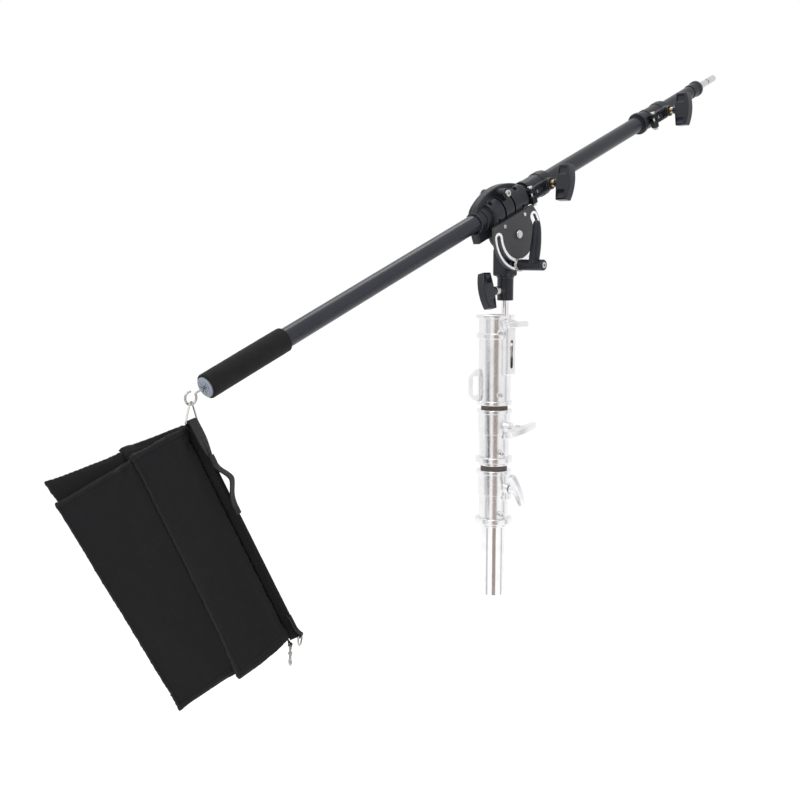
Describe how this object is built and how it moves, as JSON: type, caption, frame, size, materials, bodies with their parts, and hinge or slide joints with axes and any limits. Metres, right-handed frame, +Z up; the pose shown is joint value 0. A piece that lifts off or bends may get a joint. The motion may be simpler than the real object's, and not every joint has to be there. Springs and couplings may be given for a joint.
{
  "type": "boom stand",
  "caption": "Telescoping stand column with a sliding stud, a pivoting grip head, a two-section boom with an end spigot, and a saddle bag hung as counterweight.",
  "frame": {"origin": "centre of the lower tube's open foot, on the column's axis", "axes": "+Z up the column, +X the boom's forward direction seen from above, +Y away from the side with the knobs"},
  "size_m": [1.6973, 0.3803, 1.1797],
  "materials": {
    "column_chrome": "bright chrome plate with soft reflections",
    "cast_column": "polished cast metal, lightly pebbled in its recesses",
    "column_lever": "bright zinc-plated casting",
    "bumper_rubber": "dark brown-grey rubber",
    "bright_steel": "turned and zinc-plated steel",
    "head_cast": "black cast metal with fine textured paint",
    "plate_black": "dark grey matte painted plate",
    "slot_rim": "bare brushed aluminium rim",
    "knob_plastic": "black moulded plastic with a soft gloss",
    "brass_screw": "plain turned brass",
    "boom_black": "satin black paint with a cool sheen along the tube",
    "foam": "closed-cell foam, matte and finely pored",
    "plug_grey": "light blue-grey moulded plastic",
    "hook_steel": "bent steel wire, dull zinc plate",
    "bag_nylon": "matte black woven nylon with hems",
    "bag_webbing": "black ribbed webbing"
  },
  "bodies": {
    "lower_stage": {"lower_tube": "column_chrome", "lower_collar": "cast_column", "lower_bumper": "bumper_rubber", "lower_collar_bolts": "bright_steel"},
    "lower_lever": {"lower_lever": "column_lever"},
    "middle_stage": {"middle_tube": "column_chrome", "middle_collar": "cast_column", "middle_bumper": "bumper_rubber", "middle_collar_bolts": "bright_steel"},
    "middle_lever": {"middle_lever": "column_lever"},
    "top_stage": {"top_tube": "column_chrome", "receiver_casting": "cast_column", "receiver_bolts": "bright_steel"},
    "receiver_lever": {"receiver_lever": "column_lever"},
    "stud": {"baby_stud": "column_chrome"},
    "yoke": {"yoke": "head_cast", "pivot_bushing": "brass_screw", "clamp_bolt": "bright_steel", "clamp_washers": "bright_steel"},
    "yoke_knob": {"yoke_knob": "knob_plastic", "yoke_knob_screw": "bright_steel"},
    "ratchet_lever": {"ratchet_lever": "head_cast", "ratchet_screw": "bright_steel"},
    "head": {"front_shell": "head_cast", "rear_shell": "head_cast", "quadrant_plate": "plate_black", "slot_liner": "slot_rim", "rear_ear_plate": "plate_black", "pivot_bolt": "bright_steel", "plate_screws": "bright_steel", "shell_screws": "head_cast", "head_bolt": "bright_steel", "boom_sleeve": "head_cast", "sleeve_grip": "head_cast", "sleeve_grip_bolts": "bright_steel"},
    "sleeve_knob": {"sleeve_knob": "knob_plastic", "sleeve_knob_screw": "brass_screw"},
    "boom": {"boom_tube": "boom_black", "foam_grip": "foam", "end_plug": "plug_grey", "bag_hook": "hook_steel", "boom_grip": "head_cast", "boom_grip_bolts": "bright_steel"},
    "extension_knob": {"extension_knob": "knob_plastic", "extension_knob_screw": "brass_screw"},
    "extension": {"extension_tube": "boom_black", "end_ferrule": "head_cast", "boom_spigot": "bright_steel"},
    "bag_ring": {"bag_ring": "hook_steel"},
    "bag": {"front_flap": "bag_nylon", "front_pouch": "bag_nylon", "back_flap": "bag_nylon", "back_pouch": "bag_nylon", "spine_strap": "bag_webbing", "grab_handle": "bag_webbing", "ring_tab": "bag_webbing", "snap_tab": "bag_webbing"},
    "d_ring": {"d_ring": "hook_steel"},
    "snap_hook": {"snap_hook": "hook_steel"}
  },
  "joints": [
    {"name": "middle_rise", "type": "slide", "parent": "lower_stage", "child": "middle_stage", "axis": [0, 0, 1], "range_m": [0, 0.14]},
    {"name": "top_rise", "type": "slide", "parent": "middle_stage", "child": "top_stage", "axis": [0, 0, 1], "range_m": [0, 0.24]},
    {"name": "lower_lever_turn", "type": "hinge", "parent": "lower_stage", "child": "lower_lever", "pos_m": [0, -0.046, 0.228], "axis": [0, -1, 0], "continuous": true},
    {"name": "middle_lever_turn", "type": "hinge", "parent": "middle_stage", "child": "middle_lever", "pos_m": [0, -0.06, 0.356], "axis": [0, -1, 0], "continuous": true},
    {"name": "receiver_lever_turn", "type": "hinge", "parent": "top_stage", "child": "receiver_lever", "pos_m": [0, -0.046, 0.569], "axis": [0, -1, 0], "continuous": true},
    {"name": "stud_slide", "type": "slide", "parent": "top_stage", "child": "stud", "axis": [0, 0, 1], "range_m": [-0.01, 0]},
    {"name": "head_swivel", "type": "hinge", "parent": "stud", "child": "yoke", "pos_m": [0, -0.026, 0.64], "axis": [0, 0, 1], "continuous": true},
    {"name": "yoke_knob_turn", "type": "hinge", "parent": "yoke", "child": "yoke_knob", "pos_m": [-0.033, -0.026, 0.637], "axis": [-1, 0, 0], "continuous": true},
    {"name": "ratchet_lever_turn", "type": "hinge", "parent": "yoke", "child": "ratchet_lever", "pos_m": [0, -0.09, 0.689], "axis": [0, 1, 0], "range_deg": [-110, 110]},
    {"name": "boom_tilt", "type": "hinge", "parent": "yoke", "child": "head", "pos_m": [0, -0.026, 0.75], "axis": [0, -1, 0], "range_deg": [-54, 39]},
    {"name": "sleeve_knob_turn", "type": "hinge", "parent": "head", "child": "sleeve_knob", "pos_m": [0.10432, -0.0693, 0.85504], "axis": [0, -1, 0], "continuous": true},
    {"name": "boom_slide", "type": "slide", "parent": "head", "child": "boom", "axis": [0.921, 0, 0.3896], "range_m": [-0.34, 0.45]},
    {"name": "extension_knob_turn", "type": "hinge", "parent": "boom", "child": "extension_knob", "pos_m": [0.5381, -0.0693, 1.03855], "axis": [0, -1, 0], "continuous": true},
    {"name": "extension_slide", "type": "slide", "parent": "boom", "child": "extension", "axis": [0.921, 0, 0.3896], "range_m": [-0.12, 0.65]},
    {"name": "bag_plumb", "type": "hinge", "parent": "boom", "child": "bag_ring", "pos_m": [-0.7676, -0.026, 0.48293], "axis": [0, -1, 0], "range_deg": [-39, 54]},
    {"name": "bag_sway", "type": "hinge", "parent": "bag_ring", "child": "bag", "pos_m": [-0.7676, -0.026, 0.44543], "axis": [0.809, 0.5878, 0], "range_deg": [-15, 15]},
    {"name": "d_ring_swing", "type": "hinge", "parent": "bag", "child": "d_ring", "pos_m": [-0.66514, -0.16703, 0.10324], "axis": [0.809, 0.5878, 0], "range_deg": [-50, 20]},
    {"name": "snap_hook_swing", "type": "hinge", "parent": "bag", "child": "snap_hook", "pos_m": [-0.67477, -0.15378, 0.08652], "axis": [0.809, 0.5878, 0], "range_deg": [-30, 30]}
  ],
  "couplings": [
    {"joint": "bag_plumb", "follows": "boom_tilt", "ratio": -1}
  ]
}
